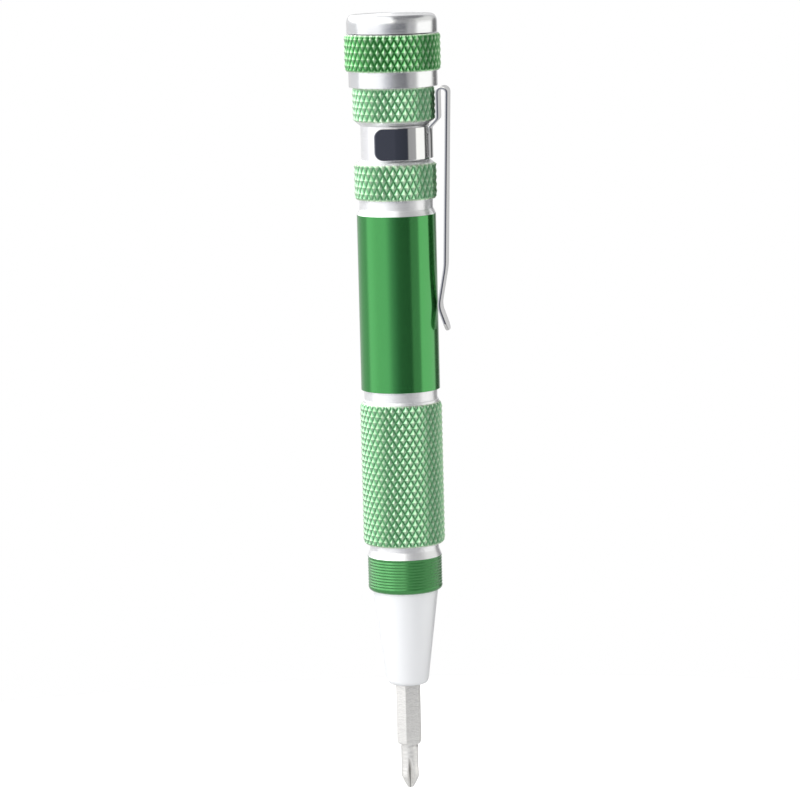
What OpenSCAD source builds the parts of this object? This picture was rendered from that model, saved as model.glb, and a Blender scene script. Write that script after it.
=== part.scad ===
// Pocket screwdriver with a clip, a magnetic bit socket and a rack of spare bits.
// The tip of the bit in use is at the origin, +Z runs up the handle, and the clip's arm is at +X.

/* [Bits] */
// Width across the flats of the hex shanks
bit_af = 4; // [3.8:0.05:4.1]
// Length of a bit
bit_len = 28; // [27:0.5:29]
// Length of the bit in use that stands out of the nose
bit_reach = 18.98; // [17.5:0.25:20]
// Radius over the wings of the cross point
wing_r = 1.65; // [1.3:0.05:1.9]
// Height of the cross point's cone
wing_cone = 2.1; // [1.6:0.1:2.6]
// Length of the cross point's four flutes
flute_len = 6; // [5:0.25:7]
// Radius of the round neck above the flutes
bit_neck_r = 1.55; // [1.2:0.05:1.8]
// Height from the tip to the start of the hex
bit_neck_end = 8.15; // [7.5:0.05:9]
// Turn of the socket's hex about the axis
socket_turn = 25.6; // [0:0.1:60]
// Turn of the cross point's flutes about the axis
flute_turn = 16; // [0:1:90]

/* [Nose] */
// Radius of the cone at its small end
nose_end_r = 3.76; // [3.6:0.02:4]
// Radius of the cone where it enters the barrel
nose_root_r = 5.8; // [5.5:0.05:6]
// Length of the cone
nose_len = 17.32; // [14:0.5:19]
// Rounding of the cone's small end
nose_round = 0.85; // [0.3:0.05:0.9]
// Length of the spigot inside the barrel
nose_spigot_len = 7.6; // [6:0.2:10]

/* [Barrel] */
// Radius of the bore that holds the bit rack
bore_r = 5.35; // [5.3:0.01:5.4]
// Radius of the ring of fine ribs
rib_ring_r = 6.6; // [6.5:0.02:6.9]
// Length of the ring of fine ribs
rib_ring_len = 6.2; // [5:0.1:8]
// Distance between two ribs
rib_pitch = 0.55; // [0.5:0.05:0.8]
// Depth of the grooves between the ribs
rib_depth = 0.16; // [0.1:0.02:0.25]
// Length of the bevel above the ribbed ring
front_bevel_len = 1.25; // [0.6:0.1:1.6]
// Radius of the groove in front of the grip
front_groove_r = 6.1; // [6:0.02:6.3]
// Length of the groove in front of the grip
front_groove_len = 1.05; // [0.6:0.1:1.4]
// Radius of the knurled grip
grip_r = 7.28; // [7.1:0.02:7.6]
// Length of the knurled grip
grip_len = 25.75; // [22:0.5:30]
// Chamfer at the ends of the grip
grip_chamfer = 0.45; // [0.2:0.05:0.6]
// Radius of the groove between the grip and the glossy tube
mid_groove_r = 6.46; // [6.3:0.02:6.6]
// Length of the groove between the grip and the glossy tube
mid_groove_len = 1.85; // [1:0.1:2.4]
// Radius of the glossy tube
tube_r = 6.97; // [6.8:0.01:7.05]
// Length of the bevel at the top of the glossy tube
tube_bevel_len = 1.05; // [0.6:0.05:1.4]
// Length of the groove above the glossy tube
top_groove_len = 1.69; // [1:0.1:2]

/* [Clip neck] */
// Radius of the two knurled rings beside the neck
ring_r = 7.28; // [7.1:0.02:7.4]
// Length of the knurled ring below the neck
low_ring_len = 5.95; // [5:0.1:7]
// Length of the bevel from the lower ring to the neck
low_bevel_len = 1; // [0.8:0.05:1.5]
// Radius of the neck that the clip holds
neck_r = 5.93; // [5.9:0.01:5.98]
// Length of the neck
neck_len = 5.96; // [5.9:0.05:7]
// Length of the bevel from the neck to the upper ring
high_bevel_len = 1.15; // [0.5:0.05:1.3]
// Length of the knurled ring above the neck
high_ring_len = 5.6; // [5.5:0.05:6.5]
// Chamfer at the ends of the knurled rings
ring_chamfer = 0.25; // [0.1:0.05:0.4]

/* [End cap] */
// Radius of the bright band
band_r = 7.79; // [7.5:0.02:7.9]
// Length of the bright band
band_len = 2.75; // [2.4:0.1:3.6]
// Radius of the cap's knurled ring
cap_ring_r = 8.48; // [8.2:0.02:8.7]
// Length of the cap's knurled ring
cap_ring_len = 6.5; // [5.6:0.1:7]
// Length of the threaded spigot inside the barrel
spigot_len = 6.4; // [6:0.1:7]
// Pitch of the cap's thread
thread_pitch = 0.8; // [0.7:0.05:0.9]
// Depth of the cap's thread
thread_depth = 0.38; // [0.3:0.02:0.42]
// Radius of the swivelling dome
dome_r = 7.94; // [7.6:0.02:8.2]
// Length of the dome
dome_len = 3.4; // [3:0.05:3.8]
// Rounding of the dome's upper edge
dome_round = 1.15; // [0.6:0.05:1.4]

/* [Clip] */
// Thickness of the spring sheet
clip_t = 0.45; // [0.4:0.05:0.5]
// Width of the clip's arm
clip_w = 4.6; // [3.6:0.1:5]
// Angle of the band's round part
band_angle = 161; // [150:1:170]
// Length of the flat tab at each end of the band
tab_len = 3.6; // [3.2:0.1:3.8]
// Radius of the band's inner face
band_in_r = 6.1; // [6.05:0.01:6.15]
// Height of the band
band_h = 5.6; // [4.8:0.1:5.7]
// Radius of the corners of the band and the arm
clip_corner_r = 1.5; // [0.8:0.1:1.8]
// Gap between the upper knurled ring and the clip's inner leg
leg_gap = 0.36; // [0.3:0.02:0.45]
// Distance between the middles of the hairpin's two legs
hairpin_w = 1.7; // [1.5:0.05:2]
// Gap between the arm and the glossy tube where it touches cloth
grip_gap = 0.12; // [0.08:0.02:0.3]
// Gap between the arm and the glossy tube where the arm starts to bend in
arm_gap = 1.4; // [1.2:0.1:1.8]
// Height of the bend above the arm's contact
arm_bend_rise = 7; // [6:0.5:8]
// Height of the arm's contact above the lower end of the glossy tube
contact_rise = 14.7; // [12:0.1:17]
// Drop from the arm's contact to its end
flare_drop = 4.3; // [3:0.1:5]
// Distance that the arm's end stands out beyond its contact
flare_out = 1.5; // [1:0.1:2]

/* [Rack] */
// Radius of the bit rack
rack_r = 5.22; // [5.18:0.01:5.25]
// Distance of each spare bit from the rack's axis
bit_circle_r = 2.9; // [2.85:0.01:2.9]
// Thickness of the rack's floors
rack_floor = 1.2; // [1:0.1:1.5]
// Length of the rack's solid head
rack_head_len = 8.5; // [8:0.1:9]
// Travel of the stud in the rack's head, which frees the cap's thread
stud_travel = 4; // [3.5:0.1:4.2]
// Length of the stud between the rack's head and the cap's bush
stud_len = 7.1; // [6.8:0.1:9]
// Thickness of the cushion under the rack
cushion_t = 1.5; // [1:0.1:2]

/* [Hidden] */
$fn = 96;

// Clearances shared by the pieces
run_fit = 0.05;
slip_fit = 0.1;
loose_fit = 0.15;
overrun = 1;

// Heights along the handle, up from the tip
nose_z = bit_reach;
barrel_z = nose_z + nose_len;
front_bevel_z = barrel_z + rib_ring_len;
front_groove_z = front_bevel_z + front_bevel_len;
grip_z = front_groove_z + front_groove_len;
mid_groove_z = grip_z + grip_len;
tube_z = mid_groove_z + mid_groove_len;

// Rack, which holds two tiers of bits and so gives the glossy tube its length
spigot_r = bore_r - run_fit;
spigot_top_z = barrel_z + nose_spigot_len;
cushion_r = bore_r - slip_fit;
rack_z = spigot_top_z + cushion_t + run_fit;
bit_end_fit = 0.1;
bit_side_fit = 0.07;
pocket_len = bit_len + 2 * bit_end_fit;
tier_step = pocket_len + rack_floor;
rack_head_z = rack_z + rack_floor + pocket_len + tier_step;
rack_top_z = rack_head_z + rack_head_len;

// Bush in the cap's spigot, and the barrel's mouth above it
cap_seat = run_fit;
retainer_lip = 0.4;
retainer_t = 2;
retainer_z = rack_top_z + stud_len;
spigot_z = retainer_z - retainer_lip;
cap_z = spigot_z + spigot_len;
mouth_z = cap_z - cap_seat;

// Heights along the handle, down from the mouth
high_ring_z = mouth_z - high_ring_len;
high_bevel_z = high_ring_z - high_bevel_len;
neck_z = high_bevel_z - neck_len;
low_bevel_z = neck_z - low_bevel_len;
low_ring_z = low_bevel_z - low_ring_len;
top_groove_z = low_ring_z - top_groove_len;
tube_bevel_z = top_groove_z - tube_bevel_len;

// End cap and dome
cap_ring_z = cap_z + band_len;
cap_top_z = cap_ring_z + cap_ring_len;
dome_z = cap_top_z + loose_fit;
dome_top_z = dome_z + dome_len;
thread_crest_r = bore_r - slip_fit;
oring_t = 0.6;
oring_r = thread_crest_r + oring_t / 2;
oring_seat_r = oring_r + oring_t / 2 + run_fit;
thread_relief = 1.2;
chamber_r = 3.9;
chamber_rise = 1.5;
chamber_top_z = cap_z + chamber_rise;

// Dome's pin, its ring and its washer
pin_r = 1.5;
pin_press = 2.2;
pin_ring_t = 0.5;
pin_ring_r = 2.6;
pin_ring_mouth = 1.8;
pin_groove_r = 1.15;
pin_tail = 0.6;
washer_r = 3.4;
washer_t = 0.4;
pin_ring_z = chamber_top_z - pin_ring_t - slip_fit;
pin_z = pin_ring_z - pin_tail;

// Socket in the nose
sleeve_r = 2.8;
sleeve_recess = 0.4;
sleeve_tail = 1.8;
magnet_r = 2.3;
magnet_t = 4;
plug_key_r = 1.15;
sleeve_z = nose_z + sleeve_recess;
magnet_z = bit_len + run_fit;
plug_z = magnet_z + magnet_t;
sleeve_top_z = plug_z + sleeve_tail;

// Stud
stud_r = 1.1;
stud_foot_r = 1.7;
stud_foot_t = 1.2;
stud_head_r = 2.4;
stud_head_t = 1.2;
stud_floor = 1.4;
stud_foot_z = rack_head_z + stud_floor;
stud_pocket_len = stud_foot_t + stud_travel + 2 * loose_fit;
stud_head_z = retainer_z + retainer_t + run_fit;

// Clip
clip_shift = 0.2;
band_mid_r = band_in_r + clip_t / 2;
band_z = neck_z + (neck_len - band_h) / 2;
leg_root_x = clip_shift + band_mid_r;
leg_x = ring_r + leg_gap + clip_t / 2;
arm_top_x = leg_x + hairpin_w;
hairpin_x = leg_x + hairpin_w / 2;
hairpin_r = hairpin_w / 2;
hairpin_top = mouth_z - run_fit;
hairpin_z = hairpin_top - hairpin_r - clip_t / 2;
contact_z = tube_z + contact_rise;
contact_x = tube_r + grip_gap + clip_t / 2;
bend_x = tube_r + arm_gap + clip_t / 2;
leg_bend_r = 0.7;
leg_root_len = 1.2;
arm_bend_r = 14;
contact_bend_r = 4;

// Bits: shank bevel, and the spare bits' own sizes
bit_bevel = 0.5;
blade_rise = 4;
slot_narrow_w = 1.5;
slot_narrow_t = 0.25;
slot_middle_w = 2;
slot_middle_t = 0.4;
slot_wide_w = 3;
slot_wide_t = 0.5;
small_wing_r = 1.2;
large_wing_r = 1.95;
flute_web_share = 0.22;

function seg_angle(p, q) = atan2(q[1] - p[1], q[0] - p[0]);

function polar(r, angle) = r * [cos(angle), sin(angle)];

// Points of an arc of radius r that rounds the corner b between a and c
function corner(a, b, c, r, steps) =
    let (
        a_in = seg_angle(b, a),
        a_out = seg_angle(b, c),
        turn = (a_out - a_in + 540) % 360 - 180,
        half = abs(turn) / 2,
        reach = r / tan(half),
        mid = a_in + turn / 2,
        centre = b + polar(r / sin(half), mid),
        start = b + polar(reach, a_in),
        start_angle = seg_angle(centre, start),
        sweep = (turn > 0 ? -1 : 1) * (180 - 2 * half)
    )
    [for (i = [0:steps]) centre + polar(r, start_angle + sweep * i / steps)];

function arc(centre, r, from, to, steps) =
    [for (i = [0:steps]) centre + polar(r, from + (to - from) * i / steps)];

// Point at a distance d to the left of a path's point i, where the path starts and ends at given angles
function offset_point(path, i, d, first, final) =
    let (
        last = len(path) - 1,
        before = i == 0 ? first : i == last ? final : seg_angle(path[i - 1], path[i]),
        after = i == 0 ? first : i == last ? final : seg_angle(path[i], path[i + 1]),
        bend = (after - before + 540) % 360 - 180,
        normal = before + bend / 2 + 90
    )
    path[i] + polar(d / cos(bend / 2), normal);

// Solid strip of the clip's sheet from a path in the XZ plane and the angles at its two ends
module strip(path, first, final) {
    last = len(path) - 1;
    rotate([90, 0, 0]) linear_extrude(clip_w, center = true) polygon(concat(
        [for (i = [0:last]) offset_point(path, i, clip_t / 2, first, final)],
        [for (i = [0:last]) offset_point(path, last - i, -clip_t / 2, first, final)]
    ));
}

module ring_cut(outer, inner, z, h) {
    translate([0, 0, z]) difference() {
        cylinder(r = outer, h = h);
        translate([0, 0, -overrun]) cylinder(r = inner, h = h + 2 * overrun);
    }
}

// What a rounding of radius r takes off a sheet across X whose corner is at the origin
module corner_waste(r, depth) {
    translate([-depth, 0, 0]) rotate([90, 0, 90]) linear_extrude(2 * depth) difference() {
        translate([-overrun, -overrun]) square(r + overrun);
        translate([r, r]) circle(r = r);
    }
}

// Profile of a thread's ridges, as rings, from z0 up over the length
function ridges(crest, root, z0, length) =
    let (turns = floor(length / thread_pitch), start = z0 + (length - turns * thread_pitch) / 2)
    [for (i = [0:turns - 1], s = [[0, root], [0.5, crest]]) [s[1], start + (i + s[0]) * thread_pitch]];

module handle_barrel() {
    groove_count = floor((rib_ring_len - 2 * rib_pitch) / rib_pitch);
    edge = rib_ring_r - nose_root_r;
    female_root_r = bore_r + thread_depth;
    color("forestgreen") difference() {
        rotate_extrude() polygon(concat(
            [[0, barrel_z]],
            arc([nose_root_r, barrel_z + edge], edge, -90, 0, 6),
            [
                [rib_ring_r, front_bevel_z],
                [front_groove_r, front_groove_z],
                [front_groove_r, grip_z],
                [grip_r - grip_chamfer, grip_z],
                [grip_r, grip_z + grip_chamfer],
                [grip_r, mid_groove_z - grip_chamfer],
                [grip_r - grip_chamfer, mid_groove_z],
                [mid_groove_r, mid_groove_z],
                [mid_groove_r, tube_z],
                [tube_r, tube_z],
                [tube_r, tube_bevel_z],
                [mid_groove_r, top_groove_z],
                [mid_groove_r, low_ring_z],
                [ring_r - ring_chamfer, low_ring_z],
                [ring_r, low_ring_z + ring_chamfer],
                [ring_r, low_bevel_z],
                [neck_r, neck_z],
                [neck_r, high_bevel_z],
                [ring_r, high_ring_z],
                [ring_r, mouth_z - ring_chamfer],
                [ring_r - ring_chamfer, mouth_z],
                [0, mouth_z]
            ]
        ));
        translate([0, 0, barrel_z - overrun])
            cylinder(r = bore_r, h = mouth_z - barrel_z + 2 * overrun);
        // Counterbore of the sealing ring
        translate([0, 0, mouth_z - oring_t - run_fit])
            cylinder(r = oring_seat_r, h = oring_t + run_fit + overrun);
        // Thread inside the upper knurled ring
        rotate_extrude() polygon(concat(
            [[bore_r - overrun, high_ring_z]],
            ridges(female_root_r, bore_r, high_ring_z, high_ring_len - thread_relief),
            [[bore_r, mouth_z - thread_relief], [bore_r - overrun, mouth_z - thread_relief]]
        ));
        // Grooves between the fine ribs
        for (i = [1:groove_count])
            ring_cut(rib_ring_r + overrun, rib_ring_r - rib_depth,
                barrel_z + edge + i * rib_pitch, rib_pitch / 2);
    }
}

module nose_cone() {
    round_x = nose_end_r - nose_round;
    color("gainsboro") difference() {
        union() {
            rotate_extrude() polygon(concat(
                [[0, nose_z]],
                arc([round_x, nose_z + nose_round], nose_round, -90, 0, 8),
                [[nose_root_r, barrel_z], [0, barrel_z]]
            ));
            translate([0, 0, barrel_z - nose_round])
                cylinder(r = spigot_r, h = nose_spigot_len + nose_round);
        }
        translate([0, 0, nose_z - overrun])
            cylinder(r = sleeve_r, h = sleeve_top_z - nose_z + overrun);
        // Lead-in at the mouth of the socket
        translate([0, 0, nose_z - run_fit])
            cylinder(r1 = sleeve_r + sleeve_recess / 2, r2 = sleeve_r, h = sleeve_recess);
    }
}

module hex_hole(z, h, fit) {
    translate([0, 0, z]) rotate([0, 0, socket_turn])
        cylinder(r = (bit_af / 2 + fit) / cos(30), h = h, $fn = 6);
}

module hex_sleeve() {
    lead = (bit_af / 2 + bit_side_fit) / cos(30);
    color("slategray") difference() {
        translate([0, 0, sleeve_z]) cylinder(r = sleeve_r, h = sleeve_top_z - sleeve_z);
        hex_hole(sleeve_z - overrun, magnet_z - sleeve_z + overrun + run_fit, bit_side_fit);
        translate([0, 0, magnet_z]) cylinder(r = magnet_r, h = sleeve_top_z - magnet_z + overrun);
        translate([0, 0, sleeve_z - run_fit])
            cylinder(r1 = lead + run_fit, r2 = lead - slip_fit, h = sleeve_recess);
    }
}

module socket_magnet() {
    color("silver") translate([0, 0, magnet_z]) cylinder(r = magnet_r, h = magnet_t);
}

module magnet_plug() {
    color("goldenrod") difference() {
        translate([0, 0, plug_z]) cylinder(r = magnet_r, h = sleeve_tail);
        translate([0, 0, plug_z + sleeve_tail / 2])
            cylinder(r = plug_key_r, h = sleeve_tail, $fn = 6);
    }
}

module rack_cushion() {
    color("dimgray") translate([0, 0, spigot_top_z]) cylinder(r = cushion_r, h = cushion_t);
}

// Hex shank of a bit whose tip is at the origin
module shank() {
    corner_r = bit_af / 2 / cos(30);
    intersection() {
        translate([0, 0, bit_neck_end]) cylinder(r = corner_r, h = bit_len - bit_neck_end, $fn = 6);
        rotate_extrude() polygon([
            [0, bit_neck_end],
            [corner_r - bit_bevel, bit_neck_end],
            [corner_r, bit_neck_end + bit_bevel],
            [corner_r, bit_len - bit_bevel],
            [corner_r - bit_bevel, bit_len],
            [0, bit_len]
        ]);
    }
}

// Cross point with four flutes that run out towards the neck
module cross_point(tip_r) {
    web = tip_r * flute_web_share;
    run_out = atan(bit_neck_r / flute_len);
    side = 2 * tip_r;
    difference() {
        rotate_extrude() polygon([
            [0, 0],
            [web / 2, 0],
            [tip_r, wing_cone],
            [tip_r, wing_cone + web],
            [bit_neck_r, flute_len],
            [bit_neck_r, bit_neck_end + overrun],
            [0, bit_neck_end + overrun]
        ]);
        for (i = [0:3])
            rotate([0, 0, 90 * i]) translate([web, 0, 0]) rotate([0, run_out, 0])
                rotate([0, 0, -45]) translate([0, 0, -overrun])
                cube([side, side, flute_len + 2 * overrun]);
    }
}

// Flat blade of width w and thickness t, ground from the round neck
module slot_point(w, t) {
    top = bit_neck_end + overrun;
    intersection() {
        rotate_extrude() polygon([
            [0, 0],
            [w / 2, 0],
            [w / 2, blade_rise],
            [bit_neck_r, blade_rise + bit_neck_r],
            [bit_neck_r, top],
            [0, top]
        ]);
        translate([-bit_af, 0, 0]) rotate([90, 0, 90]) linear_extrude(2 * bit_af) polygon([
            [-t / 2, 0],
            [t / 2, 0],
            [bit_neck_r + t, blade_rise + bit_neck_r],
            [bit_neck_r + t, top],
            [-bit_neck_r - t, top],
            [-bit_neck_r - t, blade_rise + bit_neck_r]
        ]);
    }
}

module slot_bit(w, t) {
    union() {
        shank();
        slot_point(w, t);
    }
}

module cross_bit(tip_r) {
    union() {
        shank();
        rotate([0, 0, flute_turn]) cross_point(tip_r);
    }
}

module driver_bit() {
    color("lightsteelblue") rotate([0, 0, socket_turn]) union() {
        shank();
        rotate([0, 0, flute_turn - socket_turn]) cross_point(wing_r);
    }
}

// Place of a spare bit in the rack: flute 0 to 2, tier 0 or 1
module in_rack(flute, tier) {
    rotate([0, 0, 120 * flute])
        translate([bit_circle_r, 0, rack_z + rack_floor + bit_end_fit + tier * tier_step])
        children();
}

module spare_slot_narrow() {
    color("lightsteelblue") in_rack(0, 0) slot_bit(slot_narrow_w, slot_narrow_t);
}

module spare_slot_middle() {
    color("lightsteelblue") in_rack(1, 0) slot_bit(slot_middle_w, slot_middle_t);
}

module spare_slot_wide() {
    color("lightsteelblue") in_rack(2, 0) slot_bit(slot_wide_w, slot_wide_t);
}

module spare_cross_small() {
    color("lightsteelblue") in_rack(0, 1) cross_bit(small_wing_r);
}

module spare_cross_large() {
    color("lightsteelblue") in_rack(1, 1) cross_bit(large_wing_r);
}

module bit_rack() {
    half = bit_af / 2 + bit_side_fit;
    slot_x = stud_r + slip_fit;
    foot_x = stud_foot_r + slip_fit;
    color("dimgray") difference() {
        translate([0, 0, rack_z]) cylinder(r = rack_r, h = rack_top_z - rack_z);
        // Flutes that the spare bits lift out of
        for (flute = [0:2], tier = [0:1])
            rotate([0, 0, 120 * flute])
                translate([bit_circle_r, 0, rack_z + rack_floor + tier * tier_step]) {
                    cylinder(r = half / cos(30), h = pocket_len, $fn = 6);
                    translate([0, -half, 0]) cube([rack_r, 2 * half, pocket_len]);
                }
        // Slot that the stud slides into from the side, wide below for its foot
        translate([0, 0, stud_foot_z - loose_fit]) {
            cylinder(r = foot_x, h = stud_pocket_len);
            translate([-foot_x, -rack_r - overrun, 0])
                cube([2 * foot_x, rack_r + overrun, stud_pocket_len]);
            cylinder(r = slot_x, h = rack_head_len);
            translate([-slot_x, -rack_r - overrun, 0])
                cube([2 * slot_x, rack_r + overrun, rack_head_len]);
        }
    }
}

module draw_stud() {
    color("silver") rotate_extrude() polygon([
        [0, stud_foot_z],
        [stud_foot_r, stud_foot_z],
        [stud_foot_r, stud_foot_z + stud_foot_t],
        [stud_r, stud_foot_z + stud_foot_t],
        [stud_r, stud_head_z],
        [stud_head_r, stud_head_z],
        [stud_head_r, stud_head_z + stud_head_t / 2],
        [stud_head_r - stud_head_t / 2, stud_head_z + stud_head_t],
        [0, stud_head_z + stud_head_t]
    ]);
}

module end_cap() {
    root_r = thread_crest_r - thread_depth;
    color("green") difference() {
        rotate_extrude() polygon(concat(
            [[0, spigot_z], [root_r, spigot_z]],
            ridges(thread_crest_r, root_r, spigot_z, spigot_len - thread_relief),
            [
                [root_r, cap_z - thread_relief],
                [thread_crest_r, cap_z - oring_t - run_fit],
                [thread_crest_r, cap_z],
                [band_r, cap_z],
                [band_r, cap_ring_z],
                [cap_ring_r - ring_chamfer, cap_ring_z],
                [cap_ring_r, cap_ring_z + ring_chamfer],
                [cap_ring_r, cap_top_z - ring_chamfer],
                [cap_ring_r - ring_chamfer, cap_top_z],
                [0, cap_top_z]
            ]
        ));
        translate([0, 0, spigot_z - overrun])
            cylinder(r = chamber_r, h = chamber_top_z - spigot_z + overrun);
        translate([0, 0, chamber_top_z - overrun])
            cylinder(r = pin_r + run_fit, h = cap_top_z - chamber_top_z + 2 * overrun);
    }
}

module stud_retainer() {
    color("whitesmoke") difference() {
        translate([0, 0, retainer_z]) cylinder(r = chamber_r, h = retainer_t);
        translate([0, 0, retainer_z - overrun])
            cylinder(r = stud_r + run_fit, h = retainer_t + 2 * overrun);
    }
}

module cap_oring() {
    color("black") translate([0, 0, cap_z - oring_t / 2 - run_fit / 2])
        rotate_extrude() translate([oring_r, 0]) circle(r = oring_t / 2);
}

module swivel_dome() {
    side_z = dome_top_z - dome_round;
    color("silver") difference() {
        rotate_extrude() polygon(concat(
            [[0, dome_z], [dome_r - ring_chamfer / 2, dome_z], [dome_r, dome_z + ring_chamfer / 2]],
            arc([dome_r - dome_round, side_z], dome_round, 0, 90, 8),
            [[0, dome_top_z]]
        ));
        translate([0, 0, dome_z - overrun]) cylinder(r = pin_r, h = pin_press + overrun);
        translate([0, 0, dome_z - overrun])
            cylinder(r = washer_r + slip_fit, h = washer_t - loose_fit + run_fit + overrun);
    }
}

module dome_pin() {
    color("silver") rotate_extrude() polygon([
        [0, pin_z],
        [pin_groove_r, pin_z],
        [pin_r, pin_z + pin_tail / 2],
        [pin_r, pin_ring_z - run_fit],
        [pin_groove_r, pin_ring_z - run_fit],
        [pin_groove_r, pin_ring_z + pin_ring_t + run_fit],
        [pin_r, pin_ring_z + pin_ring_t + run_fit],
        [pin_r, dome_z + pin_press],
        [0, dome_z + pin_press]
    ]);
}

module pin_clip() {
    color("dimgray") difference() {
        translate([0, 0, pin_ring_z]) cylinder(r = pin_ring_r, h = pin_ring_t);
        translate([0, 0, pin_ring_z - overrun])
            cylinder(r = pin_groove_r + run_fit / 2, h = pin_ring_t + 2 * overrun);
        translate([0, -pin_ring_mouth / 2, pin_ring_z - overrun])
            cube([pin_ring_r + overrun, pin_ring_mouth, pin_ring_t + 2 * overrun]);
    }
}

module dome_washer() {
    color("ivory") difference() {
        translate([0, 0, cap_top_z + run_fit / 2]) cylinder(r = washer_r, h = washer_t - run_fit / 2);
        translate([0, 0, cap_top_z - overrun])
            cylinder(r = pin_r + slip_fit, h = washer_t + 2 * overrun);
    }
}

// Outline of the flat tab at an end of the band, with two round corners
module tab_outline() {
    straight_h = band_h - 2 * clip_corner_r;
    straight_len = tab_len - clip_corner_r;
    translate([-run_fit, 0]) square([straight_len + run_fit, band_h]);
    translate([0, clip_corner_r]) square([tab_len, straight_h]);
    for (up = [0, 1])
        translate([straight_len, clip_corner_r + up * straight_h]) circle(r = clip_corner_r);
}

module clip_band() {
    leg_root = [leg_root_x, band_z + band_h - clip_t / 2];
    leg_knee = [leg_x, high_ring_z];
    color("silver") union() {
        translate([clip_shift, 0, band_z]) {
            rotate([0, 0, -band_angle / 2]) rotate_extrude(angle = band_angle)
                translate([band_in_r, 0]) square([clip_t, band_h]);
            for (side = [0, 1])
                mirror([0, side, 0]) rotate([0, 0, band_angle / 2]) translate([band_in_r, 0, 0])
                    rotate([90, 0, 90]) linear_extrude(clip_t) tab_outline();
        }
        strip(concat(
            [[leg_root_x, band_z + band_h - leg_root_len]],
            corner([leg_root_x, band_z], leg_root, leg_knee, leg_bend_r, 4),
            corner(leg_root, leg_knee, [leg_x, hairpin_z], leg_bend_r, 4),
            arc([hairpin_x, hairpin_z], hairpin_r, 180, 90, 8)
        ), 90, 0);
    }
}

module clip_arm() {
    end = [contact_x + flare_out, contact_z - flare_drop];
    contact = [contact_x, contact_z];
    bend = [bend_x, contact_z + arm_bend_rise];
    top = [arm_top_x, hairpin_z];
    color("silver") difference() {
        strip(concat(
            arc([hairpin_x, hairpin_z], hairpin_r, 90, 0, 8),
            corner(top, bend, contact, arm_bend_r, 6),
            corner(bend, contact, end, contact_bend_r, 6),
            [end]
        ), 0, seg_angle(contact, end));
        // Rounded corners of the arm's free end
        for (side = [0, 1])
            mirror([0, side, 0]) translate([end[0], -clip_w / 2, end[1] - clip_t / 4])
                corner_waste(clip_corner_r, flare_out);
    }
}

handle_barrel();
nose_cone();
hex_sleeve();
socket_magnet();
magnet_plug();
rack_cushion();
driver_bit();
clip_band();
clip_arm();
bit_rack();
draw_stud();
end_cap();
stud_retainer();
cap_oring();
swivel_dome();
dome_pin();
pin_clip();
dome_washer();
spare_slot_narrow();
spare_slot_middle();
spare_slot_wide();
spare_cross_small();
spare_cross_large();
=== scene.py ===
"""Looks of a pocket screwdriver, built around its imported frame, in the order in which it is put together."""
import math

import bmesh
import bpy
from mathutils import Matrix, Vector


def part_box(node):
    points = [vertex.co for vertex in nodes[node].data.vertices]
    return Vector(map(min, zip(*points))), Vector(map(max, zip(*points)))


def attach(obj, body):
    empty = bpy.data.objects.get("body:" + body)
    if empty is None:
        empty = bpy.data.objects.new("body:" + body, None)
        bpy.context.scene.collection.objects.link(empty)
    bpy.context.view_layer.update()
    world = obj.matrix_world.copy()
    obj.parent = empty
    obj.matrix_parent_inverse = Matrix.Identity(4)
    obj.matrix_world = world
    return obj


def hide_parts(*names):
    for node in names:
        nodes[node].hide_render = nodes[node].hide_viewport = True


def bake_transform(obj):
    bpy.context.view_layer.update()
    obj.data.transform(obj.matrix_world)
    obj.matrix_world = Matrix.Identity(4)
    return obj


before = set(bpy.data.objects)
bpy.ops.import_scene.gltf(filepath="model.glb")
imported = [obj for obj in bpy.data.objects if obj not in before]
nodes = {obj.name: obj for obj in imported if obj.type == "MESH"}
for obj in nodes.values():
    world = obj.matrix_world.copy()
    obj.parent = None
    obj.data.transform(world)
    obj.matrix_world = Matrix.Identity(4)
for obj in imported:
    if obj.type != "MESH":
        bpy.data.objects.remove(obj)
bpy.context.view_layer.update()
MM = 0.001

# Barrel
# One aluminium tube, turned and knurled, dyed green, and then cut bright at its grooves and bevels.
# It carries every other piece: the nose at its front end, the clip on its neck and the cap in its mouth.
MERGE = 1e-6


def add(tree, kind, settings=None, inputs=None):
    """A new node with its settings, and its inputs linked or set."""
    node = tree.nodes.new(kind)
    for name, value in (settings or {}).items():
        setattr(node, name, value)
    for name, value in (inputs or {}).items():
        if isinstance(value, bpy.types.NodeSocket):
            tree.links.new(value, node.inputs[name])
        else:
            node.inputs[name].default_value = value
    return node


def calc(tree, operation, *values):
    """The result of one Math node."""
    return add(tree, "ShaderNodeMath", {"operation": operation}, dict(enumerate(values))).outputs[0]


def mixed(tree, share, first, second):
    """A colour between two others; sockets 6 and 7 are the Mix node's colours, and output 2 is its colour."""
    return add(tree, "ShaderNodeMix", {"data_type": "RGBA"}, {0: share, 6: first, 7: second}).outputs[2]


def open_tree(name, kind, inputs, outputs):
    """A node group with named sockets, its inputs' sockets and its output node's."""
    tree = bpy.data.node_groups.new(name, kind)
    for in_out, sockets in (("INPUT", inputs), ("OUTPUT", outputs)):
        for socket, socket_kind in sockets.items():
            tree.interface.new_socket(socket, in_out=in_out, socket_type="NodeSocket" + socket_kind)
    return tree, tree.nodes.new("NodeGroupInput").outputs, tree.nodes.new("NodeGroupOutput").inputs


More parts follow.
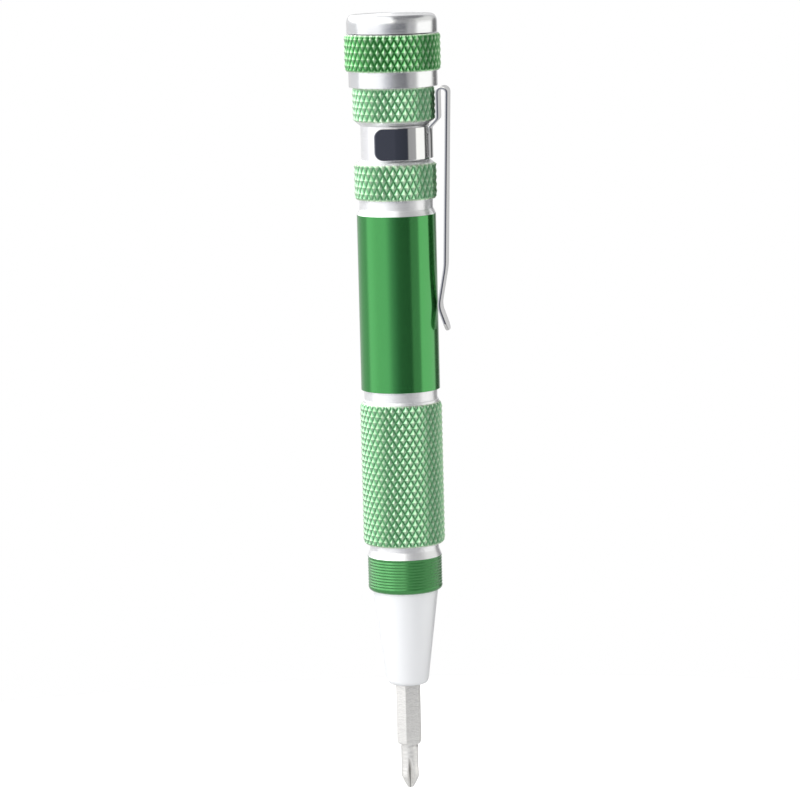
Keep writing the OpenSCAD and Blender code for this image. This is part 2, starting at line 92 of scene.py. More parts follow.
def wrapped(tree, given, rows, step, inside, shape):
    """Ends a tree with a grid wrapped round Z; shape() gives its radius, and its wear and painted light, from
    turn, row and rise.
    """
    grid = add(tree, "GeometryNodeMeshGrid", None, {
        "Size X": 1.0,
        "Size Y": rows,
        "Vertices X": calc(tree, "ADD", given["Columns"], 1),
        "Vertices Y": calc(tree, "ADD", rows, 1),
    }).outputs[0]
    place = add(tree, "ShaderNodeSeparateXYZ", None, {
        0: add(tree, "GeometryNodeInputPosition").outputs[0],
    }).outputs
    turn = calc(tree, "ADD", place[0], 0.5)
    row = calc(tree, "ADD", place[1], calc(tree, "DIVIDE", rows, 2))
    length = calc(tree, "SUBTRACT", given["High"], given["Low"])
    rise = calc(tree, "MINIMUM", calc(tree, "MULTIPLY", row, step), length)
    radius, cut = shape(turn, row, rise)
    # The cut attribute holds the bare cuts, and on knurling also its wear, painted highlight and painted shade.
    stored = add(tree, "GeometryNodeStoreNamedAttribute", None, {
        "Geometry": grid, "Name": "cut", "Value": cut,
    }).outputs[0]
    angle = calc(tree, "MULTIPLY", turn, math.tau)
    moved = add(tree, "GeometryNodeSetPosition", None, {
        "Geometry": stored,
        "Position": add(tree, "ShaderNodeCombineXYZ", None, {
            0: calc(tree, "MULTIPLY", calc(tree, "COSINE", angle), radius),
            1: calc(tree, "MULTIPLY", calc(tree, "SINE", angle), radius),
            2: calc(tree, "ADD", given["Low"], rise),
        }).outputs[0],
    }).outputs[0]
    if inside:
        moved = add(tree, "GeometryNodeFlipFaces", None, {"Mesh": moved}).outputs[0]
    split = add(tree, "GeometryNodeTriangulate", {"quad_method": "SHORTEST_DIAGONAL"}, {
        "Mesh": moved,
    }).outputs[0]
    closed = add(tree, "GeometryNodeMergeByDistance", None, {"Geometry": split, "Distance": MERGE}).outputs[0]
    real = add(tree, "GeometryNodeRealizeInstances", None, {"Geometry": closed}).outputs[0]
    return add(tree, "GeometryNodeSetMaterial", None, {
        "Geometry": real, "Material": given["Material"],
    }).outputs[0]


def knurl_tree():
    """Diamond knurling: two families of V grooves round a band, whose ends are cut back to cones."""
    groove_curve, most_wear_and_light, part_row = 1.25, 0.8, 0.01
    sizes = dict.fromkeys((
        "Radius", "Low", "High", "Low cut", "Low cut length", "High cut", "High cut length", "Depth", "Row",
    ), "Float")
    tree, given, result = open_tree("Diamond knurling", "GeometryNodeTree", {
        **sizes, "Columns": "Int", "Diamonds": "Int", "Material": "Material",
    }, {"Geometry": "Geometry"})
    half_rows = calc(tree, "DIVIDE", given["Columns"], calc(tree, "MULTIPLY", given["Diamonds"], 2))
    length = calc(tree, "SUBTRACT", given["High"], given["Low"])
    rows = calc(tree, "CEIL", calc(tree, "SUBTRACT", calc(tree, "DIVIDE", length, given["Row"]), part_row))

    def cone_cut(end, distance):
        share = calc(tree, "SUBTRACT", 1.0, calc(tree, "DIVIDE", distance, given[end + " cut length"]))
        return calc(tree, "MULTIPLY", given[end + " cut"], share)

    def shape(turn, row, rise):
        across = calc(tree, "MULTIPLY", turn, given["Diamonds"])
        along = calc(tree, "DIVIDE", row, calc(tree, "MULTIPLY", half_rows, 2))
        left = calc(tree, "PINGPONG", calc(tree, "ADD", across, along), 0.5)
        right = calc(tree, "PINGPONG", calc(tree, "SUBTRACT", across, along), 0.5)
        valley = calc(tree, "SUBTRACT", 1.0, calc(tree, "MULTIPLY", calc(tree, "MINIMUM", left, right), 2.0))
        sunk = calc(tree, "MULTIPLY", calc(tree, "POWER", valley, groove_curve), given["Depth"])
        crest = calc(tree, "SUBTRACT", given["Radius"], sunk)
        low_cut = cone_cut("Low", rise)
        high_cut = cone_cut("High", calc(tree, "SUBTRACT", length, rise))
        cone = calc(tree, "SUBTRACT", given["Radius"], calc(tree, "MAXIMUM", low_cut, high_cut))
        # Towards the crests this share is wear and painted highlight, towards the groove floors painted shade.
        wear_and_light = calc(tree, "MULTIPLY", calc(tree, "SUBTRACT", 1.0, valley), most_wear_and_light)
        bare = calc(tree, "LESS_THAN", cone, crest)
        return calc(tree, "MINIMUM", crest, cone), calc(tree, "MAXIMUM", wear_and_light, bare)

    tree.links.new(wrapped(tree, given, rows, given["Row"], False, shape), result[0])
    return tree


def groove_tree(name, inside):
    """Grooves round a band: rings where Starts is 0, a screw thread where it is 1, fading at both ends."""
    sizes = dict.fromkeys((
        "Radius", "Low", "High", "End radius", "Fade", "Pitch", "Starts", "Depth", "Flat",
    ), "Float")
    tree, given, result = open_tree(name, "GeometryNodeTree", {
        **sizes, "Columns": "Int", "Rows": "Int", "Material": "Material",
    }, {"Geometry": "Geometry"})
    length = calc(tree, "SUBTRACT", given["High"], given["Low"])
    step = calc(tree, "DIVIDE", length, given["Rows"])

    def shape(turn, row, rise):
        phase = calc(tree, "SUBTRACT", calc(tree, "DIVIDE", rise, given["Pitch"]), calc(
            tree, "MULTIPLY", turn, given["Starts"]))
        wave = calc(tree, "MULTIPLY", calc(tree, "PINGPONG", phase, 0.5), 2.0)
        share = calc(tree, "DIVIDE", calc(tree, "SUBTRACT", wave, given["Flat"]), calc(
            tree, "SUBTRACT", 1.0, calc(tree, "MULTIPLY", given["Flat"], 2.0)))
        share = calc(tree, "MAXIMUM", calc(tree, "MINIMUM", share, 1.0), 0.0)
        groove = calc(tree, "MULTIPLY", share, given["Depth"])
        end = calc(tree, "MINIMUM", rise, calc(tree, "SUBTRACT", length, rise))
        fade = calc(tree, "MINIMUM", calc(tree, "DIVIDE", end, given["Fade"]), 1.0)
        full = calc(tree, "SUBTRACT", calc(tree, "SUBTRACT", given["Radius"], groove), given["End radius"])
        return calc(tree, "ADD", given["End radius"], calc(tree, "MULTIPLY", full, fade)), 0.0

    tree.links.new(wrapped(tree, given, given["Rows"], step, inside, shape), result[0])
    return tree


def grown(tree, sizes, **others):
    """The plain mesh that a tree makes from its sizes in millimetres and its other inputs."""
    values = {**{name: size * MM for name, size in sizes.items()}, **others}
    body = bpy.data.objects.new("growing", bpy.data.meshes.new("growing"))
    bpy.context.scene.collection.objects.link(body)
    modifier = body.modifiers.new("grow", "NODES")
    modifier.node_group = tree
    for socket in tree.interface.items_tree:
        if socket.in_out == "INPUT":
            modifier[socket.identifier] = values[socket.name.replace(" ", "_").lower()]
    bpy.context.view_layer.update()
    mesh = bpy.data.meshes.new_from_object(body.evaluated_get(bpy.context.evaluated_depsgraph_get()))
    bpy.data.objects.remove(body)
    return mesh


def quarter(steps):
    """The angles of a quarter turn in equal steps, without its start."""
    return [math.pi / 2 * step / steps for step in range(1, steps + 1)]


def softened(outline, size):
    """An outline whose corners are rounded over a small length, at most a third of each side."""
    nearly_straight = math.radians(20)
    points = [outline[0]]
    for before, corner, after in zip(outline, outline[1:], outline[2:]):
        before, corner, after = Vector(before), Vector(corner), Vector(after)
        back, ahead = before - corner, after - corner
        if back.angle(-ahead) < nearly_straight:
            points.append(corner[:])
            continue
        start = corner + back.normalized() * min(size, back.length / 3)
        end = corner + ahead.normalized() * min(size, ahead.length / 3)
        points += [start[:], ((start + corner * 2 + end) / 4)[:], end[:]]
    return points + [outline[-1]]


def round_z(radius, angle, height):
    """A point in metres from a radius and a height in millimetres."""
    return radius * MM * math.cos(angle), radius * MM * math.sin(angle), height * MM


def turn(shape, outline, columns, material=0):
    """Adds a surface turned round Z to a bmesh, from (radius, height) points in millimetres."""
    rings = []
    for radius, height in outline:
        if radius == 0:
            rings.append([shape.verts.new((0, 0, height * MM))] * (columns + 1))
            continue
        angles = (math.tau * column / columns for column in range(columns))
        ring = [shape.verts.new(round_z(radius, angle, height)) for angle in angles]
        rings.append(ring + ring[:1])
    for lower, upper in zip(rings, rings[1:]):
        for column in range(columns):
            corners = [lower[column], lower[column + 1], upper[column + 1], upper[column]]
            face = shape.faces.new(list(dict.fromkeys(corners)))
            face.material_index = material


def piece(name, shape, materials, sharp=35):
    """A finished object from a bmesh: its doubles merged, its sharp edges marked by their angle."""
    bmesh.ops.remove_doubles(shape, verts=shape.verts, dist=MERGE)
    bare = shape.verts.layers.float.get("cut")
    if bare:
        for face in (f for f in shape.faces if f.material_index == 0):
            for corner in face.verts:
                corner[bare] = 1.0
    mesh = bpy.data.meshes.new(name)
    shape.to_mesh(mesh)
    shape.free()
    for material in materials:
        mesh.materials.append(material)
    mesh.polygons.foreach_set("use_smooth", [True] * len(mesh.polygons))
    mesh.set_sharp_from_angle(angle=math.radians(sharp))
    made = bpy.data.objects.new(name, mesh)
    bpy.context.scene.collection.objects.link(made)
    return made


def graft(shape, mesh, material):
    """Adds a grown mesh to a bmesh under one of its material numbers."""
    count = len(shape.faces)
    shape.from_mesh(mesh)
    shape.faces.ensure_lookup_table()
    for face in shape.faces[count:]:
        face.material_index = material


def turning_group():
    """Fine turning marks: rings whose height changes with the distance along and away from the axis."""
    away_share, broad_marks, patches = 1.37, 900.0, 260.0
    tree, given, result = open_tree("Turning marks", "ShaderNodeTree", {
        "Marks per metre": "Float",
    }, {"Height": "Float", "Streak": "Float"})
    place = add(tree, "ShaderNodeSeparateXYZ", None, {
        0: add(tree, "ShaderNodeTexCoord").outputs["Object"],
    }).outputs
    away = calc(tree, "SQRT", calc(tree, "ADD", calc(tree, "MULTIPLY", place[0], place[0]), calc(
        tree, "MULTIPLY", place[1], place[1])))
    path = calc(tree, "ADD", calc(tree, "MULTIPLY", away, away_share), place[2])
    fine = add(tree, "ShaderNodeTexNoise", {"noise_dimensions": "1D"}, {
        "W": calc(tree, "MULTIPLY", path, given["Marks per metre"]),
        "Scale": 1.0, "Detail": 3.0, "Roughness": 0.7,
    }).outputs[0]
    broad = add(tree, "ShaderNodeTexNoise", {"noise_dimensions": "4D"}, {
        "Vector": add(tree, "ShaderNodeTexCoord").outputs["Object"],
        "W": calc(tree, "MULTIPLY", path, broad_marks), "Scale": patches, "Detail": 2.0,
    }).outputs[0]
    tree.links.new(fine, result["Height"])
    tree.links.new(broad, result["Streak"])
    return tree


TURNING = turning_group()


def uneven(tree, noise, roughness, spread):
    """A roughness that a noise moves up and down by a share."""
    most_from, most_to = 0.3, 0.7  # most of a noise lies between these
    return add(tree, "ShaderNodeMapRange", None, {
        "Value": noise, "From Min": most_from, "From Max": most_to,
        "To Min": roughness * (1 - spread), "To Max": roughness * (1 + spread),
    }).outputs[0]


def metal(name, colour, roughness, metallic=1.0, marks=9000.0, bump=0.0, spread=0.1, coat=0.0, anisotropic=0.0):
    """A metal finish with turning marks in its height and its roughness."""
    coat_roughness, coat_ior, across_marks, mark_depth = 0.12, 1.7, 0.25, 0.00002
    finish = bpy.data.materials.new(name)
    finish.use_nodes = True
    tree = finish.node_tree
    shader = tree.nodes["Principled BSDF"]
    for socket, value in {
        "Metallic": metallic, "Base Color": (*colour, 1), "Coat Weight": coat, "Coat Roughness": coat_roughness,
        "Coat IOR": coat_ior, "Anisotropic": anisotropic, "Anisotropic Rotation": across_marks,
    }.items():
        shader.inputs[socket].default_value = value
    around = add(tree, "ShaderNodeTangent", {"direction_type": "RADIAL", "axis": "Z"}).outputs[0]
    tree.links.new(around, shader.inputs["Tangent"])
    turned = add(tree, "ShaderNodeGroup", {"node_tree": TURNING}, {"Marks per metre": marks})
    tree.links.new(uneven(tree, turned.outputs["Streak"], roughness, spread), shader.inputs["Roughness"])
    if bump:
        tree.links.new(add(tree, "ShaderNodeBump", None, {
            "Strength": bump, "Distance": mark_depth, "Height": turned.outputs["Height"],
        }).outputs[0], shader.inputs["Normal"])
    return finish


BRIGHT = metal(
    "bright turned aluminium", (0.91, 0.915, 0.935), 0.23, 0.86, marks=14000.0, bump=0.3, spread=0.3,
    anisotropic=0.8)
BARE = metal(
    "bare cut aluminium", (0.93, 0.93, 0.95), 0.34, 0.66, marks=14000.0, bump=0.3, spread=0.3,
    anisotropic=0.6)
GLOSSY_GREEN = metal(
    "green anodised tube", (0.065, 0.36, 0.09), 0.2, 0.82, marks=20000.0, bump=0.04, spread=0.2, coat=0.3,
    anisotropic=0.5)
# The ribs' green is a darker copy of the tube's green, painted shade for the ribbed band.
RIBBED_GREEN = metal(
    "green anodised ribs", (0.062, 0.3, 0.08), 0.24, 0.55, marks=20000.0, bump=0.04, spread=0.2, coat=0.3,
    anisotropic=0.3)


def knurled_green(name, valley, flank, crest, roughness):
    """Green knurling, pale on its points from wear and painted highlight, painted darker in its groove floors
    as shade, and bare where the bright cuts go through the dye.
    """
    valley_at, flank_at, crest_at, bare_over = 0.04, 0.24, 0.72, 0.9
    uneven_share, even_share, patches = 0.5, 0.75, 900.0
    finish = metal(name, flank, roughness, 0.75, marks=12000.0, bump=0.1, spread=0.2, coat=0.4)
    tree = finish.node_tree
    wear_and_light_share = add(tree, "ShaderNodeAttribute", {"attribute_name": "cut"}).outputs["Fac"]
    shade = add(tree, "ShaderNodeTexNoise", None, {
        "Vector": add(tree, "ShaderNodeTexCoord").outputs["Object"], "Scale": patches, "Detail": 3.0,
    }).outputs[0]
    patchy = calc(tree, "ADD", calc(tree, "MULTIPLY", shade, uneven_share), even_share)
    # Painted shade: the valley colour darkens the groove floors; the crest colour is wear and painted
    # highlight.
    ramp = add(tree, "ShaderNodeValToRGB", None, {0: calc(tree, "MULTIPLY", wear_and_light_share, patchy)})
    low_stop, high_stop = ramp.color_ramp.elements
    low_stop.position, low_stop.color = valley_at, (*valley, 1)
    high_stop.position, high_stop.color = flank_at, (*flank, 1)
    ramp.color_ramp.elements.new(crest_at).color = (*crest, 1)
    colour = mixed(tree, calc(tree, "GREATER_THAN", wear_and_light_share, bare_over), ramp.outputs[0], (0.90, 0.91, 0.92, 1))
    tree.links.new(colour, tree.nodes["Principled BSDF"].inputs["Base Color"])
    return finish


# The barrel's knurling is a paler copy of the cap's colours, painted lighter for the stronger light on the
# barrel.
PALE_LIT_KNURL = knurled_green(
    "worn green knurling", (0.12, 0.40, 0.17), (0.29, 0.59, 0.34), (0.62, 0.81, 0.57), 0.27)
DARK_KNURL = knurled_green(
    "green knurling", (0.03, 0.24, 0.05), (0.07, 0.35, 0.09), (0.54, 0.77, 0.51), 0.25)
KNURL = knurl_tree()
RIBS = groove_tree("Grooved band", False)
THREAD_IN = groove_tree("Inside thread", True)

low, high = (corner.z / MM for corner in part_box("handle_barrel"))
bore_r, root_r, rib_r, front_r = 5.35, 5.8, 6.6, 6.1
groove_r, tube_r, neck_r, ring_r = 6.46, 6.97, 5.93, 7.28
rib_len, bevel_len, front_len, grip_len, mid_len = 6.2, 1.25, 1.05, 25.75, 1.85
high_ring_len, high_bevel_len, neck_len, low_bevel_len, low_ring_len = 5.6, 1.15, 5.96, 1.0, 5.95
top_groove_len, tube_bevel_len = 1.69, 1.05
bevel_z = low + rib_len
front_z = bevel_z + bevel_len
grip_z = front_z + front_len
mid_z = grip_z + grip_len
tube_z = mid_z + mid_len
high_ring_z = high - high_ring_len
high_bevel_z = high_ring_z - high_bevel_len
neck_z = high_bevel_z - neck_len
low_bevel_z = neck_z - low_bevel_len
low_ring_z = low_bevel_z - low_ring_len
top_groove_z = low_ring_z - top_groove_len
tube_bevel_z = top_groove_z - tube_bevel_len
edge, chip, tube_edge, bevel_rise = 0.07, 0.03, 0.06, 0.05
diamonds, per_diamond = 36, 6
columns = per_diamond * diamonds
grip_cut, bare_len, bare_taper, ring_cut, knurl_depth = 0.45, 0.4, 0.04, 0.36, 0.36
grip_top_cut = grip_cut + 0.1
grip_row, low_row = (grip_len - bare_len) / 75, low_ring_len / 15
high_row = (high_ring_len + high_bevel_len) / 18
rib_edge = rib_r - root_r
rib_low, rib_high = low + rib_edge + 0.06, bevel_z - 0.14
rib_count, rib_depth, rib_flat, rib_fade = 10, 0.13, 0.1, 0.05
thread_depth, thread_end, thread_pitch, thread_flat, thread_fade = 0.38, 1.2, 0.8, 0.15, 0.5
thread_r = bore_r + thread_depth
seal_r, seal_z = 5.9, high - 0.65
CUT, TUBE, KNURLED, RIBBED = range(4)

barrel_shape = bmesh.new()
turn(barrel_shape, [(bore_r, low), (root_r, low)] + [
    (root_r + rib_edge * math.sin(a), low + rib_edge * (1 - math.cos(a))) for a in quarter(6)
] + [(rib_r, rib_low)], columns, RIBBED)
turn(barrel_shape, softened([
    (rib_r, rib_high), (rib_r, bevel_z), (rib_r - chip, bevel_z + chip),
], edge), columns, RIBBED)
turn(barrel_shape, softened([
    (rib_r - chip, bevel_z + chip), (front_r, front_z), (front_r, grip_z), (ring_r - grip_cut, grip_z),
], edge), columns, CUT)
turn(barrel_shape, softened([
    (ring_r - grip_top_cut, mid_z - bare_len), (ring_r - grip_top_cut - bare_taper, mid_z),
    (groove_r, mid_z), (groove_r, tube_z), (tube_r - tube_edge, tube_z),
], edge), columns, CUT)
turn(barrel_shape, [
    (tube_r - tube_edge, tube_z), (tube_r - tube_edge * 0.3, tube_z + tube_edge * 0.3),
    (tube_r, tube_z + tube_edge), (tube_r, (tube_z + tube_bevel_z) / 2), (tube_r, tube_bevel_z),
    (tube_r - chip, tube_bevel_z + bevel_rise),
], columns, TUBE)
turn(barrel_shape, softened([
    (tube_r - chip, tube_bevel_z + bevel_rise), (groove_r, top_groove_z), (groove_r, low_ring_z),
    (ring_r - ring_cut, low_ring_z),
], edge), columns, CUT)
turn(barrel_shape, [(neck_r, neck_z), (neck_r, high_bevel_z)], columns, CUT)
turn(barrel_shape, softened([
    (ring_r - ring_cut, high), (seal_r, high), (seal_r, seal_z), (thread_r, seal_z),
    (thread_r, high - thread_end),
], edge), columns, CUT)
turn(barrel_shape, [
    (thread_r, high_ring_z), (bore_r, high_ring_z - thread_depth), (bore_r, low),
], columns, CUT)


def knurled(low_z, high_z, low_cut, low_cut_len, high_cut, high_cut_len, row, radius=ring_r, around=diamonds,
            finish=PALE_LIT_KNURL):
    """A band of green knurling whose ends are cut back to cones, in millimetres."""
    return grown(KNURL, dict(
        radius=radius, low=low_z, high=high_z, low_cut=low_cut, low_cut_length=low_cut_len,
        high_cut=high_cut, high_cut_length=high_cut_len, depth=knurl_depth, row=row,
    ), columns=per_diamond * around, diamonds=around, material=finish)


graft(barrel_shape, knurled(
    grip_z, mid_z - bare_len, grip_cut, grip_cut, grip_top_cut, grip_top_cut, grip_row), KNURLED)
graft(barrel_shape, knurled(
    low_ring_z, neck_z, ring_cut, ring_cut, ring_r - neck_r, low_bevel_len, low_row), KNURLED)
graft(barrel_shape, knurled(
    high_bevel_z, high, ring_r - neck_r, high_bevel_len, ring_cut, ring_cut, high_row), KNURLED)
graft(barrel_shape, grown(RIBS, dict(
    radius=rib_r, low=rib_low, high=rib_high, end_radius=rib_r, fade=rib_fade,
    pitch=(rib_high - rib_low) / rib_count, depth=rib_depth,
), starts=0.0, flat=rib_flat, columns=columns, rows=10 * rib_count, material=RIBBED_GREEN), RIBBED)
graft(barrel_shape, grown(THREAD_IN, dict(
    radius=thread_r, low=high_ring_z, high=high - thread_end, end_radius=thread_r, fade=thread_fade,
    pitch=thread_pitch, depth=thread_depth,
), starts=1.0, flat=thread_flat, columns=columns, rows=36, material=BRIGHT), CUT)
barrel = piece("barrel", barrel_shape, [BARE, GLOSSY_GREEN, PALE_LIT_KNURL, RIBBED_GREEN], 18)
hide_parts("handle_barrel")
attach(barrel, "handle")

# Nose cone
# A satin aluminium cone whose spigot is pressed into the barrel's front end.
# Its nose is rounded, and its bore holds the steel sleeve of the bit socket.
SATIN = metal("satin aluminium", (0.95, 0.96, 0.99), 0.36, 0.16, marks=16000.0, bump=0.3, spread=0.1)
solid_low, nose_high = (corner.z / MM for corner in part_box("nose_cone"))
sleeve_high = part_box("hex_sleeve")[1].z / MM
set_back, mouth_len, mouth_bevel, lip = 0.22, 0.4, 0.2, 0.03
nose_low = solid_low + set_back
nose_r, nose_round, cone_start, spigot_r, sleeve_r = 3.76, 0.85, 0.05, 5.3, 2.8
nose_shape = bmesh.new()
turn(nose_shape, softened([
    (0, sleeve_high), (sleeve_r, sleeve_high), (sleeve_r, nose_low + mouth_len),
    (sleeve_r + mouth_bevel, nose_low + lip), (nose_r - nose_round, nose_low),
], 0.08) + [
    (nose_r - nose_round + nose_round * math.sin(a), nose_low + nose_round * (1 - math.cos(a)))
    for a in quarter(8)
] + softened([
    (nose_r, nose_low + nose_round + cone_start), (root_r, low), (spigot_r, low), (spigot_r, nose_high),
    (0, nose_high),
], 0.06), 160)
nose = piece("nose", nose_shape, [SATIN])
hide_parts("nose_cone")
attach(nose, "handle")

# Bit socket
# A machined steel sleeve with a 4 mm hexagonal hole, and behind the bit a plated magnet
# that a threaded brass plug holds in. They keep the frame's own shapes and get their finishes here.
MACHINED = metal("machined steel", (0.42, 0.43, 0.45), 0.32, marks=11000.0, bump=0.3, spread=0.2)
PLATED = metal("nickel plate", (0.70, 0.69, 0.66), 0.18, marks=6000.0, bump=0.1, spread=0.3)
BRASS = metal("turned brass", (0.80, 0.58, 0.22), 0.24, marks=12000.0, bump=0.3, spread=0.25)


def dress(node, material):
    """Gives a CAD node its material."""
    mesh = nodes[node].data
    mesh.materials.clear()
    mesh.materials.append(material)


dress("hex_sleeve", MACHINED)
dress("socket_magnet", PLATED)
dress("magnet_plug", BRASS)

# Bit in use
# A 4 mm hexagonal bit of satin nickel-plated steel with a ground cross point, held by the magnet.
# Its shank has cut-back corners at both ends, and the four flutes' floors are painted dark as shade.
# The flute floor colour is painted shade, mixed in by the painted shade that tip() gives each point.
steel_colour, flute_shade_colour = (0.95, 0.94, 0.925), (0.16, 0.155, 0.15)
BIT_STEEL = metal("satin nickel on steel", steel_colour, 0.28, 0.72, bump=0.06, spread=0.2)
bit_tree = BIT_STEEL.node_tree
flute_shade = add(bit_tree, "ShaderNodeAttribute", {"attribute_name": "flute"}).outputs["Fac"]
bit_tree.links.new(
    mixed(bit_tree, flute_shade, (*steel_colour, 1), (*flute_shade_colour, 1)),
    bit_tree.nodes["Principled BSDF"].inputs["Base Color"])
bit_low, bit_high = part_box("driver_bit")
bit_len = (bit_high.z - bit_low.z) / MM
across_flats, bit_bevel, neck_bit_r, hex_start = 4.0, 0.38, 1.55, 8.15
corner_wear, bevel_slope, bit_columns = 0.015, 1.05, 144


def hexagon(angle, cut):
    """Radius of the hexagonal shank with its corners cut back to a radius."""
    face = (angle + math.pi / 6) % (math.pi / 3) - math.pi / 6
    return min(across_flats / 2 / math.cos(face), cut)


def bit_mesh(tip, stations, hex_turn, tip_turn):
    """A bit with its point at the origin; tip() gives radius and painted shade at an angle and a height."""
    shape = bmesh.new()
    flute = shape.verts.layers.float.new("flute")
    full = across_flats / 2 / math.cos(math.pi / 6) - corner_wear
    ends = [hex_start + bit_bevel * share for share in (0, 0.5, 1, 1.15)]
    ends += [bit_len - bit_bevel * share for share in (1.15, 1, 0.5, 0)]
    sections = [(z, None) for z in stations] + [(hex_start - 0.02, neck_bit_r)] + [
        (z, min(full, full - bit_bevel + min(z - hex_start, bit_len - z) * bevel_slope)) for z in ends]
    rings = []
    for height, cut in sections:
        ring = []
        for column in range(bit_columns):
            angle = math.tau * column / bit_columns
            if cut is None:
                (radius, dark), place = tip(angle, height), angle + tip_turn
            else:
                radius, dark, place = hexagon(angle, cut), 0.0, angle + hex_turn
            corner = shape.verts.new(round_z(radius, place, height))
            corner[flute] = dark
            ring.append(corner)
        rings.append(ring)
    for lower, upper in zip(rings, rings[1:]):
        for column in range(bit_columns):
            following = (column + 1) % bit_columns
            shape.faces.new((lower[column], lower[following], upper[following], upper[column]))
    shape.faces.new(list(reversed(rings[0])))
    shape.faces.new(rings[-1])
    return shape


def cross_tip(wing, cone, web):
    """Point of a cross bit: four flutes whose floors run out towards the neck and are painted dark as shade;
    wing and web are radii.
    """
    blunt, core, blunt_slope, belly = wing * 0.27, web * 0.9, 3, 0.8
    neck_from, neck_over = cone + 0.6, 1.6
    first_mark, mark_gap, mark_depth, last_mark = cone + 0.3, 0.25, 0.035, hex_start - 0.5
    floor_slope, floor_curve, floor_round, steep_wall, flat_wall = 0.04, 0.032, 0.0003, 3.4, 0.5
    least_slope, shade_width, shade_fade = 0.05, 0.3, 0.8

    def point(angle, height):
        outer = min(core + blunt_slope * height, blunt + (wing - blunt) * min(1, height / cone) ** belly)
        if height > neck_from:
            outer = neck_bit_r + (wing - neck_bit_r) * max(0, 1 - (height - neck_from) / neck_over)
            if height < last_mark and round((height - first_mark) / mark_gap) % 3 == 0:
                outer -= mark_depth
        floor_r = web + floor_slope * height + floor_curve * height ** 2
        face = (angle + math.pi / 4) % (math.pi / 2) - math.pi / 4
        wall = steep_wall if face < 0 else flat_wall
        slope = math.cos(face) - math.sqrt(math.sin(face) ** 2 + floor_round) * wall
        groove = floor_r / max(slope, least_slope)
        # Painted shade: darkest on the flute's floor, fading up its walls and where the flute runs out.
        near_floor = max(0, 1 - (groove / floor_r - 1) / shade_width)
        return min(outer, groove), near_floor * max(0, min(1, (outer / floor_r - 1) * shade_fade))

    stations = [0, 0.05, 0.12, 0.3, 0.6, 0.95, 1.3, 1.65, cone - 0.12, cone, cone + 0.12]
    marks = (first_mark + mark_gap * i for i in range(22))
    return point, stations + [z for z in marks if z < hex_start - 0.1]


flute_turn, hex_turn = math.radians(2), math.radians(25.6 + 30)
bit = piece("bit_in_use", bit_mesh(*cross_tip(1.65, 2.1, 0.2), hex_turn, flute_turn), [BIT_STEEL], 28)
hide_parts("driver_bit")
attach(bit, "bit")

# Rack of spare bits
# A moulded rack of dark plastic with three flutes in two tiers, on a rubber cushion inside the barrel.
# Five spare bits lie in it, and the sixth place is empty because its bit is in the socket.


def moulded(name, colour, roughness, grain, bump):
    """A moulded finish, such as plastic or rubber, with a fine even grain and six times wider patches."""
    spread, grain_depth = 0.15, 0.00004
    finish = bpy.data.materials.new(name)
    finish.use_nodes = True
    tree = finish.node_tree
    shader = tree.nodes["Principled BSDF"]
    shader.inputs["Base Color"].default_value = (*colour, 1)
    place = add(tree, "ShaderNodeTexCoord").outputs["Object"]
    patches, fine = (
        add(tree, "ShaderNodeTexNoise", None, {"Vector": place, "Scale": scale, "Detail": detail}).outputs[0]
        for scale, detail in ((grain / 6, 3.0), (grain, 2.0)))
    darker, lighter = ((*[c * share for c in colour], 1) for share in (1 - spread, 1 + spread))
    tree.links.new(uneven(tree, patches, roughness, spread), shader.inputs["Roughness"])
    tree.links.new(mixed(tree, patches, darker, lighter), shader.inputs["Base Color"])
    tree.links.new(add(tree, "ShaderNodeBump", None, {
        "Strength": bump, "Distance": grain_depth, "Height": fine,
    }).outputs[0], shader.inputs["Normal"])
    return finish


def rounded_copy(name, node, width, material, body):
    """A copy of a CAD node with its sharp edges broken, which stands for the node."""
    shape = bmesh.new()
    shape.from_mesh(nodes[node].data)
    bmesh.ops.remove_doubles(shape, verts=shape.verts, dist=MERGE)
    bmesh.ops.dissolve_limit(shape, angle_limit=math.radians(1), verts=shape.verts, edges=shape.edges)
    sharp = [e for e in shape.edges if e.is_manifold and e.calc_face_angle(0) > math.radians(35)]
    bmesh.ops.bevel(shape, geom=sharp, offset=width * MM, segments=2, affect="EDGES", clamp_overlap=True)
    made = piece(name, shape, [material], 30)
    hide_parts(node)
    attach(made, body)


RUBBER = moulded("black rubber", (0.03, 0.03, 0.03), 0.7, 9000.0, 0.4)
RACK_PLASTIC = moulded("rack plastic", (0.045, 0.046, 0.05), 0.45, 12000.0, 0.25)
dress("rack_cushion", RUBBER)
rounded_copy("spare_bit_rack", "bit_rack", 0.12, RACK_PLASTIC, "rack")


def blade_tip(width, thick, rise):
    """Point of a slotted bit: a blade that is ground from the round neck."""
    def point(angle, height):
        share = max(0, min(1, (height - rise) / neck_bit_r))
        half_w = width / 2 + (neck_bit_r - width / 2) * share
        half_t = thick / 2 + (neck_bit_r - thick / 2) * min(1, height / (rise + neck_bit_r))
        across = half_w / max(abs(math.cos(angle)), 1e-6)
        through = half_t / max(abs(math.sin(angle)), 1e-6)
        return min(neck_bit_r if height > rise else math.inf, across, through), 0.0

    full = rise + neck_bit_r
    return point, [0, 0.1, 1, 2, 3, rise - 0.1, rise, rise + 0.4, rise + 0.8, rise + 1.2, full, 7]


